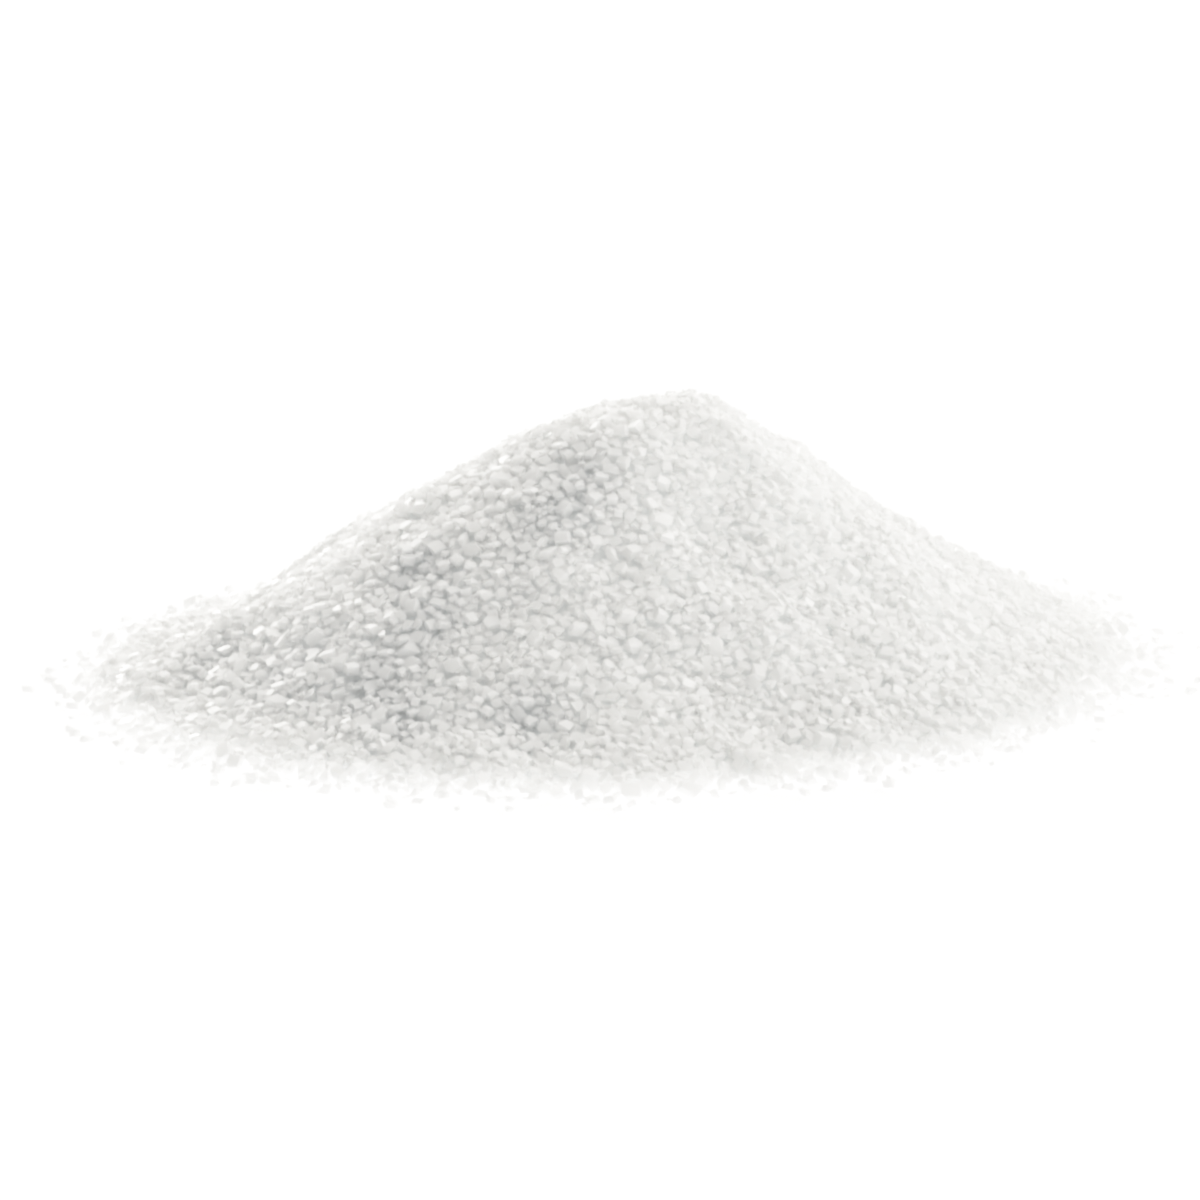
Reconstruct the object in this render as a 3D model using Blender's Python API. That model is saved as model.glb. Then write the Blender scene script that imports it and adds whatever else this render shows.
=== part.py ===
"""A low heap of loose white granulated sugar, as it lies once poured out on a flat surface.

Metres, +Z up. The heap stands on Z = 0, with the middle of its bounding box over the origin.
Its foot is a slightly uneven oval, turned so that the long way runs from near left to far right,
and its peak stands a little off the middle of that oval. The flanks lie at the angle at which
such sugar comes to rest, the peak is blunt, and the foot flares out into a thin skirt.

A crystal is about half a millimetre across, too fine to be a solid of its own all over the heap.
So the heap has bumps of the crystals' size, and the largest crystals stand on it one by one.
"""

import math
import random

import bmesh
import bpy
from mathutils import Euler, Matrix, Vector, noise

MM = 0.001

# The foot line, where the straight flanks would meet the surface below, seen from above
FOOT_HALF_LONG = 28.1 * MM
FOOT_HALF_SHORT = 24.4 * MM
FOOT_TURN = math.radians(63)
FOOT_FROM_PEAK = (-2.2 * MM, 2.0 * MM)

# The profile from the peak down to the rim of the skirt
FLANK_SLOPE = 0.66
PEAK_ROUNDING = 5.5 * MM
PEAK_BLEND = 6.0 * MM
FOOT_FLARE = 1.40 * MM
SKIRT_WIDTH = 1.9 * MM
RIM_HEIGHT = 0.32 * MM

# How far the outline strays from the oval: how often it swings round the heap, and by how much
OUTLINE_SWINGS = ((1.6, 0.9 * MM), (9.0, 0.5 * MM))
OUTLINE_PLACE = 5.1

# Clumps and hollows left by the grains that slid down: spacing and height of each layer
CLUMPS = ((9.0 * MM, 1.0 * MM), (4.0 * MM, 0.7 * MM))
CLUMP_PLACE = 17.3
CLUMPS_FADE_BELOW = 3.0 * MM

# Bumps of the crystals' size: the sheet has this many rows from the middle to the rim
SHEET_ROWS = 30
BUMP_HEIGHT = 0.30 * MM
BUMP_SHIFT = 0.26

# The largest crystals, which stand on the heap one by one
CRYSTALS = 130
CRYSTAL_LENGTH = (0.80 * MM, 1.35 * MM)
CRYSTAL_WIDTH = 0.78
CRYSTAL_DEPTH = 0.66
CRYSTAL_VARIETY = 0.15
CRYSTAL_CHAMFER = 0.26
CRYSTAL_SLANT = 0.22
CRYSTAL_RAISE = 0.12 * MM
CRYSTAL_TILT = math.radians(38)
SPREAD_REACH = 0.94
SPREAD_JITTER = 1.2 * MM
GOLDEN_ANGLE = math.pi * (3 - math.sqrt(5))
FLOOR_GAP = 0.06 * MM

SEED = 41
MERGE_WITHIN = 0.01 * MM
SUGAR_COLOUR = (0.90, 0.90, 0.875, 1.0)
SUGAR_ROUGHNESS = 0.35


def clear_scene():
    """Remove whatever the file holds, so that the script can run in any file."""
    for thing in list(bpy.data.objects):
        bpy.data.objects.remove(thing, do_unlink=True)


def foot_reach(bearing):
    """Distance from the peak to the foot line in one direction, which is where a ray meets the oval."""
    turned = bearing - FOOT_TURN
    ray = Vector((math.cos(turned) / FOOT_HALF_LONG, math.sin(turned) / FOOT_HALF_SHORT))
    start = Matrix.Rotation(-FOOT_TURN, 2) @ -Vector(FOOT_FROM_PEAK)
    start = Vector((start.x / FOOT_HALF_LONG, start.y / FOOT_HALF_SHORT))
    along = ray.dot(start)
    room = ray.dot(ray) * (1 - start.dot(start))
    return (math.sqrt(along * along + room) - along) / ray.dot(ray)


def rim_reach(bearing):
    """Distance from the peak to the uneven rim of the skirt in one direction."""
    around = Vector((math.cos(bearing), math.sin(bearing), 0))
    reach = foot_reach(bearing) + SKIRT_WIDTH
    for often, swing in OUTLINE_SWINGS:
        reach += noise.noise(around * often + Vector((0, 0, OUTLINE_PLACE))) * swing
    return reach


def clumps(x, y):
    """Low clumps and hollows, a few millimetres across."""
    total = 0
    for spacing, rise in CLUMPS:
        total += noise.noise(Vector((x / spacing, y / spacing, CLUMP_PLACE))) * rise
    return total


def heap_height(x, y):
    """Height of the sugar over the point X, Y, counted from the peak's place on the floor."""
    reach = math.hypot(x, y)
    mean_foot = (FOOT_HALF_LONG + FOOT_HALF_SHORT) / 2
    away = reach ** 2 / (reach ** 2 + PEAK_BLEND ** 2)
    foot = mean_foot + (foot_reach(math.atan2(y, x)) - mean_foot) * away
    straight = FLANK_SLOPE * (foot - math.hypot(reach, PEAK_ROUNDING))
    flared = FOOT_FLARE * math.log1p(math.exp(straight / FOOT_FLARE))
    cover = min(1.0, flared / CLUMPS_FADE_BELOW)
    return max(RIM_HEIGHT, flared + clumps(x, y) * cover)


def hexagon_share(x, y):
    """How far out a point of the unit hexagon lies: 0 in the middle, 1 on its border."""
    span = 0
    for side in range(6):
        normal = math.radians(60 * side)
        span = max(span, x * math.cos(normal) + y * math.sin(normal))
    return span / math.cos(math.radians(30))


def sugar_sheet(draw):
    """The heap's upper surface: an even sheet of triangles, spread to the rim and raised."""
    bm = bmesh.new()
    bmesh.ops.create_circle(bm, cap_ends=True, cap_tris=True, segments=6, radius=1)
    bmesh.ops.subdivide_edges(bm, edges=bm.edges, cuts=SHEET_ROWS - 1, use_grid_fill=True)
    row = FOOT_HALF_SHORT / SHEET_ROWS
    for vertex in bm.verts:
        bearing = math.atan2(vertex.co.y, vertex.co.x)
        share = hexagon_share(vertex.co.x, vertex.co.y)
        reach = share * rim_reach(bearing)
        x = reach * math.cos(bearing) + draw.uniform(-1, 1) * BUMP_SHIFT * row
        y = reach * math.sin(bearing) + draw.uniform(-1, 1) * BUMP_SHIFT * row
        bump = draw.uniform(-1, 1) * BUMP_HEIGHT
        vertex.co = (x, y, max(RIM_HEIGHT, heap_height(x, y) + bump))
    return bm


def close_below(bm):
    """Drop the sheet's border to the floor and close it with one flat face."""
    border = [edge for edge in bm.edges if edge.is_boundary]
    dropped = bmesh.ops.extrude_edge_only(bm, edges=border)["geom"]
    foot = [part for part in dropped if isinstance(part, bmesh.types.BMVert)]
    for vertex in foot:
        vertex.co.z = 0
    under = [part for part in dropped if isinstance(part, bmesh.types.BMEdge) and part.is_boundary]
    bmesh.ops.holes_fill(bm, edges=under, sides=len(under))
    bmesh.ops.recalc_face_normals(bm, faces=bm.faces)


def crystal(draw):
    """One large crystal: a slanting block with two long edges cut off."""
    bm = bmesh.new()
    bmesh.ops.create_cube(bm, size=1)
    upright = [edge for edge in bm.edges if abs(edge.verts[0].co.z - edge.verts[1].co.z) > 0.5]
    cut = [edge for edge in upright if edge.verts[0].co.x * edge.verts[0].co.y > 0]
    bmesh.ops.bevel(bm, geom=cut, offset=CRYSTAL_CHAMFER, segments=1, affect="EDGES")
    length = draw.uniform(*CRYSTAL_LENGTH)
    width = length * CRYSTAL_WIDTH * (1 + draw.uniform(-1, 1) * CRYSTAL_VARIETY)
    depth = length * CRYSTAL_DEPTH * (1 + draw.uniform(-1, 1) * CRYSTAL_VARIETY)
    slant = Matrix.Identity(4)
    slant[0][2] = CRYSTAL_SLANT
    size = Matrix.Diagonal((length, width, depth, 1))
    lean = (draw.uniform(-1, 1) * CRYSTAL_TILT, draw.uniform(-1, 1) * CRYSTAL_TILT)
    turn = Euler((*lean, draw.uniform(0, math.tau))).to_matrix().to_4x4()
    bmesh.ops.transform(bm, matrix=turn @ size @ slant, verts=bm.verts)
    return bm


def place_crystal(bm, number, draw):
    """Move one crystal to its place in an even spiral spread, part sunk in the heap."""
    bearing = number * GOLDEN_ANGLE
    reach = SPREAD_REACH * rim_reach(bearing) * math.sqrt((number + 0.5) / CRYSTALS)
    x = reach * math.cos(bearing) + draw.uniform(-1, 1) * SPREAD_JITTER
    y = reach * math.sin(bearing) + draw.uniform(-1, 1) * SPREAD_JITTER
    lowest = min(vertex.co.z for vertex in bm.verts)
    z = max(heap_height(x, y) + CRYSTAL_RAISE, FLOOR_GAP - lowest)
    bmesh.ops.translate(bm, vec=(x, y, z), verts=bm.verts)


def add_object(name, bm, collection):
    """Turn a bmesh into a named object."""
    mesh = bpy.data.meshes.new(name)
    bm.to_mesh(mesh)
    bm.free()
    made = bpy.data.objects.new(name, mesh)
    collection.objects.link(made)
    return made


def new_collection(name):
    """A collection of its own in the scene."""
    made = bpy.data.collections.new(name)
    bpy.context.scene.collection.children.link(made)
    return made


def sugar_material():
    """White, slightly warm and half matt."""
    material = bpy.data.materials.new("sugar")
    material.use_nodes = True
    shader = material.node_tree.nodes["Principled BSDF"]
    shader.inputs["Base Color"].default_value = SUGAR_COLOUR
    shader.inputs["Roughness"].default_value = SUGAR_ROUGHNESS
    shader.inputs["Metallic"].default_value = 0
    material.diffuse_color = SUGAR_COLOUR
    return material


def fuse(heap, crystals):
    """Join the crystals to the heap with one union, then remove them."""
    join = heap.modifiers.new("fuse_crystals", "BOOLEAN")
    join.operation = "UNION"
    join.operand_type = "COLLECTION"
    join.collection = crystals
    join.solver = "EXACT"
    fused = bpy.data.meshes.new_from_object(heap.evaluated_get(bpy.context.evaluated_depsgraph_get()))
    heap.modifiers.clear()
    heap.data = fused
    for grain in list(crystals.objects):
        bpy.data.objects.remove(grain, do_unlink=True)
    bpy.data.collections.remove(crystals)


def keep_main_body(bm):
    """Drop any scrap that the union left loose."""
    unseen = set(bm.verts)
    bodies = []
    while unseen:
        fresh = {unseen.pop()}
        body = set(fresh)
        while fresh:
            near = {edge.other_vert(vertex) for vertex in fresh for edge in vertex.link_edges}
            fresh = near & unseen
            unseen -= fresh
            body |= fresh
        bodies.append(body)
    main = max(bodies, key=len)
    bmesh.ops.delete(bm, geom=[vertex for vertex in bm.verts if vertex not in main], context="VERTS")


def tidy_and_centre(heap):
    """One closed body of triangles, with the middle of its box over the origin."""
    bm = bmesh.new()
    bm.from_mesh(heap.data)
    bmesh.ops.remove_doubles(bm, verts=bm.verts, dist=MERGE_WITHIN)
    keep_main_body(bm)
    bmesh.ops.triangulate(bm, faces=bm.faces)
    middle = []
    for axis in range(2):
        reach = [vertex.co[axis] for vertex in bm.verts]
        middle.append((min(reach) + max(reach)) / 2)
    bmesh.ops.translate(bm, vec=(-middle[0], -middle[1], 0), verts=bm.verts)
    bm.to_mesh(heap.data)
    bm.free()


def build():
    """Make the heap, fuse the largest crystals to it and give it its finish."""
    clear_scene()
    draw = random.Random(SEED)
    parts = new_collection("heap_of_granulated_sugar")
    crystals = new_collection("crystals")
    sheet = sugar_sheet(draw)
    close_below(sheet)
    heap = add_object("sugar_heap", sheet, parts)
    for number in range(CRYSTALS):
        grain = crystal(draw)
        place_crystal(grain, number, draw)
        add_object("crystal_%03d" % number, grain, crystals)
    fuse(heap, crystals)
    tidy_and_centre(heap)
    heap.data.materials.clear()
    heap.data.materials.append(sugar_material())


build()
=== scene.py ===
"""The looks of a low heap of white granulated sugar: a core with relief, and crystals at true size on it.

Blender 4.5, metres, +Z up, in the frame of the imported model. The crystals are dropped one by one onto a
height map of the heap, so that each rests on those below it, and each kind becomes one joined mesh.
"""

import math

import bmesh
import bpy
import numpy as np
from mathutils import Euler, Matrix, Vector, noise
from mathutils.bvhtree import BVHTree


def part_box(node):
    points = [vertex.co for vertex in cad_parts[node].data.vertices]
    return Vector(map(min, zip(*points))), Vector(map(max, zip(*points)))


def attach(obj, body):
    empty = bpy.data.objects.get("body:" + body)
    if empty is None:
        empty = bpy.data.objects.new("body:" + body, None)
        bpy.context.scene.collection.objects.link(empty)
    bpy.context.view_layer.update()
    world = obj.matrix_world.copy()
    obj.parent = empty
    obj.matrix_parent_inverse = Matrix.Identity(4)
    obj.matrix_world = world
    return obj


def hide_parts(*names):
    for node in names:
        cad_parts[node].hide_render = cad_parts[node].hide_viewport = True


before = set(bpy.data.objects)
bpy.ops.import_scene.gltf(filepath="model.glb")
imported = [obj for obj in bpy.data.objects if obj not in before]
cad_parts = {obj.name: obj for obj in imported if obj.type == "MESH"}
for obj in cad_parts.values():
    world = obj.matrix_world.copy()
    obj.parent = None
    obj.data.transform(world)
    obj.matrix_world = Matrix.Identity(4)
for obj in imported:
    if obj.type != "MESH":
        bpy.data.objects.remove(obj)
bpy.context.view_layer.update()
heap_low, heap_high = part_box("sugar_heap")

MM = 0.001
SEED = 7
NEARLY_NOTHING = 1e-9

# A face is upright when its direction rises less than this, and the texture map's discs fill this share
UPRIGHT = 0.001
DISC_SHARE = 0.92

# The height map on which the crystals are dropped
CELL = 0.08 * MM
MARGIN = 5.0 * MM
RAY_STEP = 0.4 * MM
SMOOTHINGS = 4

# The core: how far it lies under the heap's surface, and its relief
CORE_DEPTH = 0.74 * MM
CORE_RIM_HEIGHT = 0.06 * MM
CORE_ROWS = 128
CORE_FARTHEST = 40 * MM
RELIEF_SPACING = 0.55 * MM
RELIEF_HEIGHT = 0.16 * MM
RELIEF_MIDDLE = 0.5

# The foot, where the sugar thins out to a scattered layer and then to single crystals
THIN_BELOW = 0.62 * MM
THIN_LEAST = 0.34
FOOT_ENDS_BELOW = 0.12 * MM
PATCH = 0.55 * MM
STRAY_RIM = (0.10 * MM, 0.30 * MM)
STRAY_REACH = 0.75 * MM
STRAY_FARTHEST = 3.0 * MM
STRAY_TURN = 0.3
EMPTY_FLOOR = 0.03 * MM

# Dropping: places tried for each crystal, cells moved when it settles, the least drop for which it moves, and
# how far it may stand proud
TRIES = 4
SETTLE_STEPS = 3
SETTLE_CELLS = 2
SETTLE_DROP = CELL / 8
PROUD = 0.16 * MM
PROUD_SHARE = 0.30

# Rest positions: how many bearings the flanks have, their tilt, and how far crystals lean from it
SECTORS = 12
FLANK_TILT = math.radians(30)
LYING_TILT = math.radians(24)

# The kinds of crystal: how many are dropped, of which those that would stand too proud are left out, their
# lengths in millimetres, their width and depth for a length of 1, their cuts, and how many forms they have
KINDS = {
    "coarse_crystals": dict(count=1900, length=(0.70, 0.98), width=0.80, depth=0.64, cuts=4, variants=26),
    "block_crystals": dict(count=9000, length=(0.48, 0.72), width=0.82, depth=0.70, cuts=3, variants=30),
    "plate_crystals": dict(count=6500, length=(0.46, 0.74), width=0.74, depth=0.44, cuts=3, variants=30),
    "broken_crystals": dict(count=3600, length=(0.36, 0.66), width=0.66, depth=0.48, cuts=4, variants=30),
    "small_crystals": dict(count=5200, length=(0.30, 0.48), width=0.80, depth=0.66, cuts=2, variants=24),
}
FINE_NAME = "fine_fragments"
FINE_KIND = dict(count=3000, length=(0.15, 0.28), width=0.78, depth=0.62, cuts=1, variants=20)
STRAY_NAME = "loose_crystals_at_foot"
STRAY_KIND = dict(count=620, length=(0.28, 0.64), width=0.78, depth=0.60, cuts=3, variants=40)

# How a slanting block becomes a crystal, as shares of its size
SLANT = 0.23
SIZE_VARIETY = 0.16
CUT_DEPTH = (0.16, 0.40)
CUT_VARIETY = 0.38
EDGE_CUTS = 0.5

# The look of a crystal: its tint, which also carries painted shade in the hollows below, and patches of alike
# tint, clouds and growth steps in it, the casts of the lightest and the greyest ones, and how far light
# spreads in it
TINT_PATCH = 3.4 * MM
TINT_MEAN = 0.96
TINT_VARIETY = 0.10
TINT_GATHER = 2.2
TINT_DRIFT = 0.05
CLOUD_SHARE = 0.06
# Painted shade of hollows on the front left, put in as greyer crystals: place in X and Y and reach, in
# millimetres, and how much greyer
PAINTED_HOLLOW_SHADE = (
    (-10.3, -12.0, 1.4, 0.9),
    (-4.6, -22.8, 1.5, 0.9),
    (-12.4, -19.0, 2.2, 0.7),
    (-17.0, -15.3, 2.2, 0.7),
    (-10.3, -22.2, 1.9, 0.7),
    (-20.7, -9.3, 1.8, 0.7),
    (-3.1, -11.4, 1.9, 0.6),
    (-9.4, -15.7, 1.7, 0.6),
    (-2.0, -9.0, 1.6, 0.5),
)
CLOUD_SIZE = 0.16 * MM
CLOUD_DETAIL = 3
STEP_SIZE = 0.07 * MM
STEP_DETAIL = 2
STEP_HEIGHT = 0.02 * MM
STEP_STRENGTH = 0.25
WARMTH = (1.0, 1.0, 0.997)
COOLNESS = (0.99, 1.0, 1.005)
LIGHT_REACH = 2.5 * MM
REACH_OF_COLOURS = (1.0, 1.0, 0.96)
SHINE = 0.40
SUGAR_IOR = 1.54

# The camera looks along +Y from a little above
CAMERA_DISTANCE = 250 * MM
CAMERA_ELEVATION = math.radians(11.6)
CAMERA_LENS = 146.0
CAMERA_SENSOR = 36.0
CAMERA_SEES = (10 * MM, 20.0)
CAMERA_AIM = (-1.2 * MM, -0.5 * MM, 3.4 * MM)

# A white floor that glows a little, as a light table does, under soft white surroundings that are brightest
# toward the upper right and back, with a small lamp there for the glints and a wider one behind on the left
FLOOR_SIZE = 4.0
FLOOR_WHITE = 0.95
FLOOR_ROUGHNESS = 0.9
FLOOR_GLOW = 0.55
BRIGHT_SIDE = (0.62, 0.48, 0.62)
DIM_BELOW = -0.4
ROOM_DIM = 0.10
ROOM_COLOUR = (1.0, 0.985, 0.945)
ROOM_BRIGHT = 1.64
LAMP_DISTANCE = 0.70
KEY_SIZE = 0.20
KEY_POWER = 0.5
RIM_SIDE = (-0.40, 0.85, 0.35)
RIM_SIZE = 0.40
RIM_POWER = 2.6
LAMP_COLOUR = (1.0, 0.98, 0.93)
LIGHT_BOUNCES = 32

# The film: the light that comes out white, a curve that flattens toward white, and the softness in pixels
FILM_WHITE = 1.58
FILM_CURVE = ((0.40, 0.62), (0.60, 0.83), (0.80, 0.945))
FILM_SOFTNESS = 3.2


def smoothed(values, times):
    """The grid with each cell averaged with its neighbours, several times."""
    for _ in range(times):
        padded = np.pad(values, 1, mode="edge")
        across = (padded[:, :-2] + 2 * padded[:, 1:-1] + padded[:, 2:]) / 4
        values = (across[:-2] + 2 * across[1:-1] + across[2:]) / 4
    return values


def heap_map(node):
    """Grid lines in X and Y, and the heap's smooth surface over them, by rays from above."""
    tree = BVHTree.FromObject(node, bpy.context.evaluated_depsgraph_get())
    coarse_x = np.arange(heap_low[0] - MARGIN, heap_high[0] + MARGIN, RAY_STEP)
    coarse_y = np.arange(heap_low[1] - MARGIN, heap_high[1] + MARGIN, RAY_STEP)
    above = heap_high[2] + MARGIN
    down = Vector((0, 0, -1))
    height = np.zeros((len(coarse_y), len(coarse_x)))
    for row, y in enumerate(coarse_y):
        for column, x in enumerate(coarse_x):
            hit = tree.ray_cast(Vector((x, y, above)), down)[0]
            if hit is not None:
                height[row, column] = hit.z
    height = smoothed(height, SMOOTHINGS)
    grid_x = np.arange(coarse_x[0], coarse_x[-1], CELL)
    grid_y = np.arange(coarse_y[0], coarse_y[-1], CELL)
    wide = np.array([np.interp(grid_x, coarse_x, line) for line in height])
    full = np.array([np.interp(grid_y, coarse_y, line) for line in wide.T]).T
    return grid_x, grid_y, full


def cells_of(x, y):
    """Row and column of the grid cells under these points."""
    column = np.clip(np.round((x - grid_x[0]) / CELL).astype(int), 0, len(grid_x) - 1)
    row = np.clip(np.round((y - grid_y[0]) / CELL).astype(int), 0, len(grid_y) - 1)
    return row, column


def hexagon_share(x, y):
    """How far out points of the unit hexagon lie: 0 in the middle, 1 on its border."""
    normals = np.radians(60 * np.arange(6))
    spans = x[:, None] * np.cos(normals) + y[:, None] * np.sin(normals)
    return spans.max(axis=1) / math.cos(math.radians(30))


def core_reaches(peak):
    """Bearings round the peak, and how far the core reaches along each."""
    bearings = np.radians(np.arange(0, 361))
    along = np.arange(0, CORE_FARTHEST, CELL)
    x = peak[0] + np.outer(np.cos(bearings), along)
    y = peak[1] + np.outer(np.sin(bearings), along)
    deep = surface[cells_of(x, y)] > CORE_DEPTH + CORE_RIM_HEIGHT
    return bearings, along[np.maximum(deep.cumprod(axis=1).sum(axis=1) - 1, 0)]


def core_mesh():
    """The core: an even sheet of triangles, spread to its rim, raised, roughened and closed below."""
    top_row, top_column = np.unravel_index(surface.argmax(), surface.shape)
    peak = (grid_x[top_column], grid_y[top_row])
    bearings, reaches = core_reaches(peak)
    bm = bmesh.new()
    bmesh.ops.create_circle(bm, cap_ends=True, cap_tris=True, segments=6, radius=1)
    bmesh.ops.subdivide_edges(bm, edges=bm.edges, cuts=CORE_ROWS - 1, use_grid_fill=True)
    flat = np.array([vertex.co for vertex in bm.verts])
    bearing = np.arctan2(flat[:, 1], flat[:, 0]) % math.tau
    reach = hexagon_share(flat[:, 0], flat[:, 1]) * np.interp(bearing, bearings, reaches)
    x = peak[0] + reach * np.cos(bearing)
    y = peak[1] + reach * np.sin(bearing)
    height = surface[cells_of(x, y)] - CORE_DEPTH
    for number, vertex in enumerate(bm.verts):
        place = Vector((x[number], y[number], height[number]))
        near, second = noise.voronoi(place / RELIEF_SPACING)[0][:2]
        rise = (second - near - RELIEF_MIDDLE) * RELIEF_HEIGHT
        vertex.co = (place.x, place.y, max(CORE_RIM_HEIGHT, place.z + rise))
    border = [edge for edge in bm.edges if edge.is_boundary]
    dropped = bmesh.ops.extrude_edge_only(bm, edges=border)["geom"]
    for part in dropped:
        if isinstance(part, bmesh.types.BMVert):
            part.co.z = 0
    under = [part for part in dropped if isinstance(part, bmesh.types.BMEdge) and part.is_boundary]
    bmesh.ops.holes_fill(bm, edges=under, sides=len(under))
    bmesh.ops.recalc_face_normals(bm, faces=bm.faces)
    mesh = bpy.data.meshes.new("sugar_core")
    bm.to_mesh(mesh)
    bm.free()
    return mesh


def cut_block(kind):
    """Corners and triangles of one crystal of length 1: a slanting block with corners and edges cut off."""
    bm = bmesh.new()
    bmesh.ops.create_cube(bm, size=1)
    variety = 1 + draw.uniform(-1, 1, 2) * SIZE_VARIETY
    size = Matrix.Diagonal((1, kind["width"] * variety[0], kind["depth"] * variety[1], 1))
    slant = Matrix.Identity(4)
    slant[0][2] = SLANT
    bmesh.ops.transform(bm, matrix=size @ slant, verts=bm.verts)
    for _ in range(kind["cuts"]):
        signs = Vector(draw.choice((-1, 1), 3))
        edge_only = draw.integers(3)
        signs[edge_only] *= draw.uniform(0, 1) < EDGE_CUTS
        toward = (signs + Vector(draw.uniform(-1, 1, 3)) * CUT_VARIETY).normalized()
        farthest = max(vertex.co.dot(toward) for vertex in bm.verts)
        place = toward * farthest * (1 - draw.uniform(*CUT_DEPTH))
        geometry = bm.verts[:] + bm.edges[:] + bm.faces[:]
        cut = bmesh.ops.bisect_plane(bm, geom=geometry, plane_co=place, plane_no=toward, clear_outer=True)
        rim = [part for part in cut["geom_cut"] if isinstance(part, bmesh.types.BMEdge)]
        bmesh.ops.holes_fill(bm, edges=rim)
    bmesh.ops.recalc_face_normals(bm, faces=bm.faces)
    bmesh.ops.triangulate(bm, faces=bm.faces)
    bm.verts.ensure_lookup_table()
    corners = np.array([vertex.co for vertex in bm.verts])
    triangles = np.array([[vertex.index for vertex in face.verts] for face in bm.faces])
    bm.free()
    return corners - corners.mean(axis=0), triangles


def laid_out(corners, triangles):
    """Each triangle corner's place in a unit square: one disc for the upper half, another for the lower."""
    ways = corners / np.linalg.norm(corners, axis=1, keepdims=True)
    middle = corners[triangles].mean(axis=1)
    side = np.where(middle[:, 2] >= 0, 1.0, -1.0)
    corner_ways = ways[triangles]
    out = np.sqrt(np.clip((1 - corner_ways[:, :, 2] * side[:, None]) / 2, 0, 1))
    level = corner_ways[:, :, :2]
    flat = level / np.maximum(np.linalg.norm(level, axis=2, keepdims=True), NEARLY_NOTHING)
    discs = flat * out[:, :, None] * 0.5
    across = np.where(side > 0, 0.25, 0.75)[:, None] + discs[:, :, 0] * DISC_SHARE / 2
    up = 0.5 + discs[:, :, 1] * DISC_SHARE
    return np.stack((across, up), axis=2)


def stamp(corners, triangles):
    """A crystal's lower and upper surface over the cells round its middle, with its reach in cells."""
    reach = int(math.ceil(np.abs(corners[:, :2]).max() / CELL))
    line = np.arange(-reach, reach + 1) * CELL
    x, y = np.meshgrid(line, line)
    first, second, third = (corners[triangles[:, place]] for place in range(3))
    normals = np.cross(second - first, third - first)
    normals /= np.maximum(np.linalg.norm(normals, axis=1, keepdims=True), NEARLY_NOTHING ** 2)
    offsets = (normals * first).sum(axis=1)
    lower = np.full(x.shape, -np.inf)
    upper = np.full(x.shape, np.inf)
    outside = np.zeros(x.shape, bool)
    for normal, offset in zip(normals, offsets):
        room = offset - normal[0] * x - normal[1] * y
        if normal[2] > UPRIGHT:
            upper = np.minimum(upper, room / normal[2])
        elif normal[2] < -UPRIGHT:
            lower = np.maximum(lower, room / normal[2])
        else:
            outside |= room < 0
    outside |= lower >= upper
    return np.where(outside, np.inf, lower), np.where(outside, -np.inf, upper), reach


def lying(sector):
    """A crystal's turn at rest: any way round, nearly flat on the floor or on the flank of one sector."""
    lean = draw.uniform(-1, 1, 2) * LYING_TILT
    turn = Euler((lean[0], lean[1], draw.uniform(0, math.tau))).to_matrix()
    if sector < SECTORS:
        downhill = sector * math.tau / SECTORS
        axis = Vector((-math.sin(downhill), math.cos(downhill), 0))
        turn = Matrix.Rotation(FLANK_TILT, 3, axis) @ turn
    return np.array(turn)


def rest_forms(kind):
    """The ways in which crystals of one kind lie, for each sector of the heap and for the floor."""
    forms = []
    for sector in range(SECTORS + 1):
        here = []
        for _ in range(kind["variants"]):
            corners, triangles = cut_block(kind)
            layout = laid_out(corners, triangles)
            corners = (corners * draw.uniform(*kind["length"]) * MM) @ lying(sector).T
            lower, upper, reach = stamp(corners, triangles)
            here.append(dict(corners=corners, triangles=triangles, layout=layout,
                             lower=lower, upper=upper, reach=reach))
        forms.append(here)
    return forms


def rest_height(form, row, column):
    """Height at which a crystal's middle comes to rest over a cell."""
    reach = form["reach"]
    patch = bed[row - reach:row + reach + 1, column - reach:column + reach + 1]
    return (patch - form["lower"]).max()


def settled(form, row, column):
    """Where a crystal ends when it slips to the lowest place near by, next to the heap's surface."""
    height = rest_height(form, row, column)
    score = height - surface[row, column]
    for _ in range(SETTLE_STEPS):
        moved = False
        for down, right in ((SETTLE_CELLS, 0), (-SETTLE_CELLS, 0), (0, SETTLE_CELLS), (0, -SETTLE_CELLS)):
            other = rest_height(form, row + down, column + right)
            other_score = other - surface[row + down, column + right]
            if other_score < score - SETTLE_DROP:
                best = (row + down, column + right)
                height, score, moved = other, other_score, True
        if not moved:
            break
        row, column = best
    return row, column, height, score


def lay_down(form, row, column, height):
    """Raise the bed by a crystal that has come to rest."""
    reach = form["reach"]
    patch = bed[row - reach:row + reach + 1, column - reach:column + reach + 1]
    np.maximum(patch, height + form["upper"], out=patch)


def sector_of(row, column):
    """Which forms lie at a cell: those of the flank's bearing, or those of level ground."""
    if steepness[row, column] < math.tan(FLANK_TILT) / 2:
        return SECTORS
    return int(round(downhill[row, column] / math.tau * SECTORS)) % SECTORS


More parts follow.
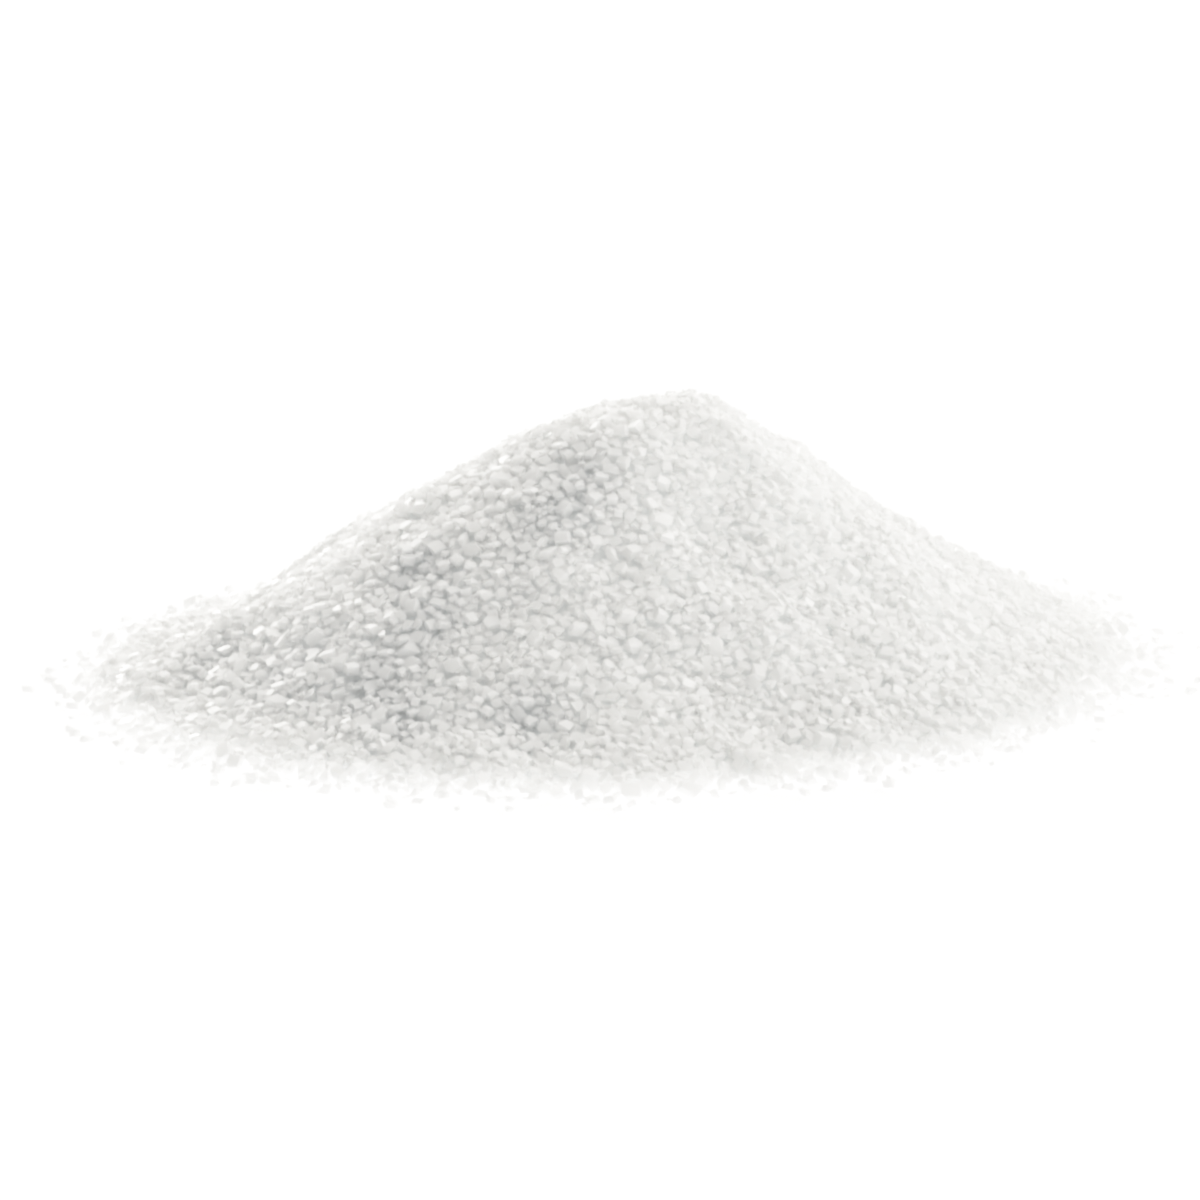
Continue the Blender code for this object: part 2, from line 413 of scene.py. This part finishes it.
def drop_on_heap(kinds):
    """Drop crystals of these kinds in mixed order where the heap still lacks most, and sort them by kind."""
    forms = {name: rest_forms(kind) for name, kind in kinds.items()}
    laid = {name: [] for name in kinds}
    order = draw.permutation(np.repeat(list(kinds), [kind["count"] for kind in kinds.values()]))
    open_rows, open_columns = np.nonzero(allowed)
    for name in order:
        picks = draw.integers(0, len(open_rows), TRIES)
        rows, columns = open_rows[picks], open_columns[picks]
        lacking = surface[rows, columns] - bed[rows, columns]
        row, column = rows[lacking.argmax()], columns[lacking.argmax()]
        form = forms[name][sector_of(row, column)][draw.integers(kinds[name]["variants"])]
        row, column, height, score = settled(form, row, column)
        lowest, highest = form["corners"][:, 2].min(), form["corners"][:, 2].max()
        on_floor = height + lowest < CELL
        if score + highest > PROUD + PROUD_SHARE * (highest - lowest) and not on_floor:
            continue
        lay_down(form, row, column, height)
        height = max(height, -lowest)
        laid[name].append((form, grid_x[column], grid_y[row], height))
    return laid


def drop_round_foot(kind):
    """Scatter single crystals on the empty floor round the foot, fewer farther out."""
    forms = rest_forms(kind)[SECTORS]
    rim_rows, rim_columns = np.nonzero((surface > STRAY_RIM[0]) & (surface < STRAY_RIM[1]))
    laid = []
    for _ in range(kind["count"]):
        pick = draw.integers(len(rim_rows))
        row, column = rim_rows[pick], rim_columns[pick]
        away = min(draw.exponential(STRAY_REACH), STRAY_FARTHEST) / CELL
        outward = math.atan2(grid_y[row], grid_x[column]) + draw.normal() * STRAY_TURN
        row = int(row + math.sin(outward) * away)
        column = int(column + math.cos(outward) * away)
        form = forms[draw.integers(kind["variants"])]
        height = rest_height(form, row, column)
        if height + form["corners"][:, 2].min() > EMPTY_FLOOR:
            continue
        lay_down(form, row, column, height)
        height = max(height, -form["corners"][:, 2].min())
        laid.append((form, grid_x[column], grid_y[row], height))
    return laid


def joined(name, laid):
    """One mesh of all crystals of a kind, each with its own tint and painted shade, and its own place in the
    texture map.
    """
    corner_counts = np.array([len(form["corners"]) for form, *_ in laid])
    starts = np.concatenate(([0], corner_counts.cumsum()[:-1]))
    places = np.array([(x, y, z) for _, x, y, z in laid])
    corners = np.concatenate([form["corners"] for form, *_ in laid])
    corners += np.repeat(places, corner_counts, axis=0)
    triangles = np.concatenate([form["triangles"] + start for (form, *_), start in zip(laid, starts)])
    mesh = bpy.data.meshes.new(name)
    mesh.vertices.add(len(corners))
    mesh.vertices.foreach_set("co", corners.astype(np.float32).ravel())
    mesh.loops.add(triangles.size)
    mesh.loops.foreach_set("vertex_index", triangles.astype(np.int32).ravel())
    mesh.polygons.add(len(triangles))
    mesh.polygons.foreach_set("loop_start", np.arange(0, triangles.size, 3, dtype=np.int32))
    mesh.update(calc_edges=True)
    mesh.shade_flat()
    tints_and_shade = np.repeat(tint_and_shade_of(places), corner_counts, axis=0)
    colours = mesh.attributes.new("tint_and_shade", "FLOAT_COLOR", "POINT")
    colours.data.foreach_set("color", tints_and_shade.astype(np.float32).ravel())
    across = int(math.ceil(math.sqrt(len(laid))))
    layout = []
    for number, (form, *_) in enumerate(laid):
        corner = np.array((number % across, number // across))
        layout.append((form["layout"] + corner).reshape(-1, 2) / across)
    chart = mesh.uv_layers.new(name="OFBake")
    chart.uv.foreach_set("vector", np.concatenate(layout).astype(np.float32).ravel())
    return mesh


def tint_and_shade_of(places):
    """For each crystal its brightness, lowered by painted shade in the hollows, its warmth and cloudiness,
    each from 0 to 1, and an opaque alpha.
    """
    own = draw.beta(TINT_GATHER, TINT_GATHER, (len(places), 3))
    drift = np.array([noise.noise(Vector(place) / TINT_PATCH) for place in places])
    own[:, 0] = TINT_MEAN + TINT_VARIETY * (own[:, 0] - 0.5) + TINT_DRIFT * drift
    # Painted shade: crystals round each hollow on the front left are made greyer
    for x, y, reach, depth in PAINTED_HOLLOW_SHADE:
        away = np.hypot(places[:, 0] - x * MM, places[:, 1] - y * MM) / (reach * MM)
        own[:, 0] -= depth * np.exp(-away ** 2)
    own[:, 0] = np.clip(own[:, 0], 0, 1)
    return np.concatenate((own, np.ones((len(places), 1))), axis=1)


def add_piece(name, mesh, material):
    """A piece of the heap, which stands for the solid heap and moves with it."""
    mesh.materials.append(material)
    piece = bpy.data.objects.new(name, mesh)
    bpy.context.scene.collection.objects.link(piece)
    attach(piece, "root")
    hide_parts("sugar_heap")
    return piece


def crystal_material(name, dark, light, roughness, translucent):
    """Frosty to cloudy sugar: each crystal has its own tint, with painted shade in the hollows, and clouds
    and fine growth steps in it.
    """
    material = bpy.data.materials.new(name)
    material.use_nodes = True
    nodes, links = material.node_tree.nodes, material.node_tree.links
    shader = nodes["Principled BSDF"]
    tint_and_shade = nodes.new("ShaderNodeAttribute")
    tint_and_shade.attribute_name = "tint_and_shade"
    split = nodes.new("ShaderNodeSeparateColor")
    links.new(tint_and_shade.outputs["Color"], split.inputs["Color"])
    place = nodes.new("ShaderNodeTexCoord")
    clouds = nodes.new("ShaderNodeTexNoise")
    clouds.inputs["Scale"].default_value = 1 / CLOUD_SIZE
    clouds.inputs["Detail"].default_value = CLOUD_DETAIL
    links.new(place.outputs["Object"], clouds.inputs["Vector"])
    cloudy = nodes.new("ShaderNodeMath")
    cloudy.operation = "MULTIPLY_ADD"
    cloudy.inputs[1].default_value = CLOUD_SHARE
    cloudy.inputs[2].default_value = -CLOUD_SHARE / 2
    links.new(clouds.outputs["Fac"], cloudy.inputs[0])
    blend = nodes.new("ShaderNodeMath")
    blend.operation = "ADD"
    links.new(split.outputs["Red"], blend.inputs[0])
    links.new(cloudy.outputs[0], blend.inputs[1])
    body = nodes.new("ShaderNodeMix")
    body.data_type = "RGBA"
    # Painted shade: the greyest tint, toward which crystals in the hollows are greyed, has a cool cast
    body.inputs["A"].default_value = (*(dark * share for share in COOLNESS), 1)
    body.inputs["B"].default_value = (*(light * share for share in WARMTH), 1)
    links.new(blend.outputs[0], body.inputs["Factor"])
    links.new(body.outputs["Result"], shader.inputs["Base Color"])
    rough = nodes.new("ShaderNodeMapRange")
    rough.inputs["To Min"].default_value = roughness[0]
    rough.inputs["To Max"].default_value = roughness[1]
    links.new(split.outputs["Blue"], rough.inputs["Value"])
    links.new(rough.outputs["Result"], shader.inputs["Roughness"])
    steps = nodes.new("ShaderNodeTexNoise")
    steps.inputs["Scale"].default_value = 1 / STEP_SIZE
    steps.inputs["Detail"].default_value = STEP_DETAIL
    links.new(place.outputs["Object"], steps.inputs["Vector"])
    relief = nodes.new("ShaderNodeBump")
    relief.inputs["Strength"].default_value = STEP_STRENGTH
    relief.inputs["Distance"].default_value = STEP_HEIGHT
    links.new(steps.outputs["Fac"], relief.inputs["Height"])
    links.new(relief.outputs["Normal"], shader.inputs["Normal"])
    shader.inputs["IOR"].default_value = SUGAR_IOR
    shader.inputs["Specular IOR Level"].default_value = SHINE
    shader.inputs["Subsurface Weight"].default_value = translucent
    shader.inputs["Subsurface Radius"].default_value = REACH_OF_COLOURS
    shader.inputs["Subsurface Scale"].default_value = LIGHT_REACH
    return material


def make_floor():
    """A plain white floor."""
    bpy.ops.mesh.primitive_plane_add(size=FLOOR_SIZE)
    floor = bpy.context.object
    floor.name = "floor"
    material = bpy.data.materials.new("floor_white")
    material.use_nodes = True
    shader = material.node_tree.nodes["Principled BSDF"]
    shader.inputs["Base Color"].default_value = (FLOOR_WHITE, FLOOR_WHITE, FLOOR_WHITE, 1)
    shader.inputs["Roughness"].default_value = FLOOR_ROUGHNESS
    shader.inputs["Emission Color"].default_value = (1, 1, 1, 1)
    shader.inputs["Emission Strength"].default_value = FLOOR_GLOW
    material.cycles.emission_sampling = "NONE"
    floor.data.materials.append(material)


def make_lamp(name, side, size, power):
    """A soft square lamp on one side of the heap that faces it."""
    lamp = bpy.data.lights.new(name, "AREA")
    lamp.size = size
    lamp.energy = power
    lamp.color = LAMP_COLOUR
    holder = bpy.data.objects.new(name, lamp)
    toward = Vector(side).normalized()
    holder.location = toward * LAMP_DISTANCE
    holder.rotation_euler = (-toward).to_track_quat("-Z", "Y").to_euler()
    bpy.context.scene.collection.objects.link(holder)


def make_world():
    """White surroundings, brighter toward one side."""
    world = bpy.data.worlds.new("white_room")
    world.use_nodes = True
    nodes, links = world.node_tree.nodes, world.node_tree.links
    ways = nodes.new("ShaderNodeTexCoord")
    toward = nodes.new("ShaderNodeVectorMath")
    toward.operation = "DOT_PRODUCT"
    toward.inputs[1].default_value = Vector(BRIGHT_SIDE).normalized()
    links.new(ways.outputs["Generated"], toward.inputs[0])
    strength = nodes.new("ShaderNodeMapRange")
    strength.inputs["From Min"].default_value = DIM_BELOW
    strength.inputs["To Min"].default_value = ROOM_DIM
    strength.inputs["To Max"].default_value = ROOM_BRIGHT
    links.new(toward.outputs["Value"], strength.inputs["Value"])
    background = nodes["Background"]
    background.inputs["Color"].default_value = (*ROOM_COLOUR, 1)
    links.new(strength.outputs["Result"], background.inputs["Strength"])
    world.cycles.sampling_method = "NONE"
    bpy.context.scene.world = world


def set_film():
    """The picture's tones: plain up to light grey, then ever flatter up to white."""
    view = bpy.context.scene.view_settings
    view.view_transform = "Standard"
    view.use_curve_mapping = True
    view.curve_mapping.white_level = (FILM_WHITE,) * 3
    for light, tone in FILM_CURVE:
        view.curve_mapping.curves[3].points.new(light, tone)
    view.curve_mapping.update()
    bpy.context.scene.cycles.filter_width = FILM_SOFTNESS


def make_camera():
    """The view from the front and a little above."""
    camera = bpy.data.objects.new("camera", bpy.data.cameras.new("camera"))
    bpy.context.scene.collection.objects.link(camera)
    back = Vector((0, -math.cos(CAMERA_ELEVATION), math.sin(CAMERA_ELEVATION)))
    camera.location = Vector(CAMERA_AIM) + back * CAMERA_DISTANCE
    camera.rotation_euler = (-back).to_track_quat("-Z", "Y").to_euler()
    camera.data.lens = CAMERA_LENS
    camera.data.sensor_width = CAMERA_SENSOR
    camera.data.clip_start, camera.data.clip_end = CAMERA_SEES
    bpy.context.scene.camera = camera


draw = np.random.default_rng(SEED)
grid_x, grid_y, surface = heap_map(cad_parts["sugar_heap"])
slope_y, slope_x = np.gradient(surface, CELL)
steepness = np.hypot(slope_x, slope_y)
downhill = np.arctan2(-slope_y, -slope_x)

# The bed starts as the core's surface, and rises as crystals come to rest on it
bed = np.maximum(surface - CORE_DEPTH + RELIEF_HEIGHT / 2, 0)
cover = np.clip(surface / THIN_BELOW, THIN_LEAST, 1)
patches = draw.random((int(len(grid_y) * CELL / PATCH) + 2, int(len(grid_x) * CELL / PATCH) + 2))
patch_rows = ((grid_y - grid_y[0]) / PATCH).astype(int)
patch_columns = ((grid_x - grid_x[0]) / PATCH).astype(int)
allowed = (surface > FOOT_ENDS_BELOW) & (patches[np.ix_(patch_rows, patch_columns)] < cover)

# Each kind's greyest and lightest tint, its least and most roughness, and how translucent it is; the painted
# shade of the hollows goes toward the greyest tint
packed_sugar = crystal_material("packed_sugar", 0.985, 0.995, (0.60, 0.85), 0.0)
add_piece("sugar_core", core_mesh(), packed_sugar)
materials = {
    "coarse_crystals": crystal_material("coarse_sugar", 0.86, 0.998, (0.15, 0.45), 0.45),
    "block_crystals": crystal_material("block_sugar", 0.86, 0.998, (0.20, 0.55), 0.40),
    "plate_crystals": crystal_material("plate_sugar", 0.86, 0.998, (0.15, 0.45), 0.45),
    "broken_crystals": crystal_material("broken_sugar", 0.86, 0.998, (0.35, 0.70), 0.35),
    "small_crystals": crystal_material("small_sugar", 0.86, 0.998, (0.30, 0.65), 0.35),
    FINE_NAME: crystal_material("fine_sugar", 0.87, 0.998, (0.40, 0.70), 0.20),
    STRAY_NAME: crystal_material("loose_sugar", 0.90, 0.998, (0.20, 0.55), 0.45),
}
laid = drop_on_heap(KINDS)
laid.update(drop_on_heap({FINE_NAME: FINE_KIND}))
laid[STRAY_NAME] = drop_round_foot(STRAY_KIND)
for name, crystals in laid.items():
    print(name, len(crystals), "triangles", sum(len(form["triangles"]) for form, *_ in crystals), flush=True)
    add_piece(name, joined(name, crystals), materials[name])

make_floor()
make_world()
set_film()
bpy.context.scene.cycles.max_bounces = LIGHT_BOUNCES
bpy.context.scene.cycles.diffuse_bounces = LIGHT_BOUNCES
make_lamp("key", BRIGHT_SIDE, KEY_SIZE, KEY_POWER)
make_lamp("rim", RIM_SIDE, RIM_SIZE, RIM_POWER)
make_camera()
